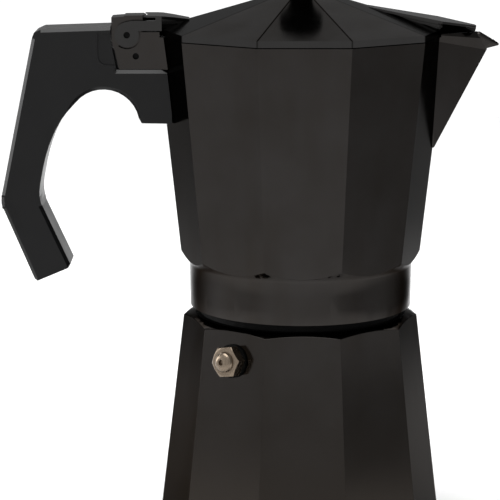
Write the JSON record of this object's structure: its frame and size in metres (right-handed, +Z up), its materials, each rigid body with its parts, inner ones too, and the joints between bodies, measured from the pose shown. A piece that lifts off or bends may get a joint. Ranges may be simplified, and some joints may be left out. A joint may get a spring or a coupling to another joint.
{
  "type": "moka pot",
  "caption": "Ten-sided stovetop moka pot: boiler with relief valve, lift-out funnel, screw-on collector with spout and handle, hinged lid.",
  "frame": {"origin": "centre of the boiler's flat base, on the pot's upright axis", "axes": "+Z up along the pot's axis, +X toward the spout, -X toward the handle"},
  "size_m": [0.2046, 0.1132, 0.2529],
  "materials": {
    "dark_metal": "satin dark coating",
    "plain_metal": "satin",
    "steel": "satin",
    "dark_steel": "blackened",
    "brass": "satin",
    "black_plastic": "satin",
    "dark_rubber": "matte",
    "rubber": "matte"
  },
  "bodies": {
    "boiler": {"boiler": "dark_metal", "valve_washer": "dark_rubber", "valve_body": "brass", "valve_cap": "brass", "valve_spring": "steel"},
    "relief_pin": {"valve_pin": "brass", "valve_seal": "rubber"},
    "funnel": {"funnel": "plain_metal", "funnel_sieve": "plain_metal"},
    "seal": {"gasket": "rubber"},
    "filter": {"filter_plate": "plain_metal"},
    "collector": {"collector": "dark_metal", "handle": "black_plastic", "handle_pin": "dark_steel", "hinge_pin": "dark_steel"},
    "lid": {"lid": "dark_metal", "knob": "black_plastic", "knob_insert": "brass", "knob_screw": "steel", "knob_washer": "steel"}
  },
  "joints": [
    {"name": "relief_pin_slide", "type": "slide", "parent": "boiler", "child": "relief_pin", "axis": [-0.5841, -0.8039, 0.1118], "range_m": [0, 0.0012], "stiffness_N_per_m": 2000, "springref_m": -0.0035, "deforming": ["valve_spring"]},
    {"name": "funnel_lift", "type": "slide", "parent": "boiler", "child": "funnel", "axis": [0, 0, 1], "range_m": [0, 0.105]},
    {"name": "collector_lift", "type": "slide", "parent": "funnel", "child": "seal", "axis": [0, 0, 1], "range_m": [0, 0.06]},
    {"name": "thread_rise", "type": "slide", "parent": "seal", "child": "filter", "axis": [0, 0, 1], "range_m": [0, 0.0071]},
    {"name": "collector_turn", "type": "hinge", "parent": "filter", "child": "collector", "pos_m": [0, 0, 0.1], "axis": [0, 0, 1], "range_deg": [0, 720]},
    {"name": "lid_hinge", "type": "hinge", "parent": "collector", "child": "lid", "pos_m": [-0.0712, 0, 0.2094], "axis": [0, -1, 0], "range_deg": [0, 95]}
  ],
  "couplings": [
    {"joint": "thread_rise", "follows": "collector_turn", "m_per_rad": 0.00055704}
  ]
}
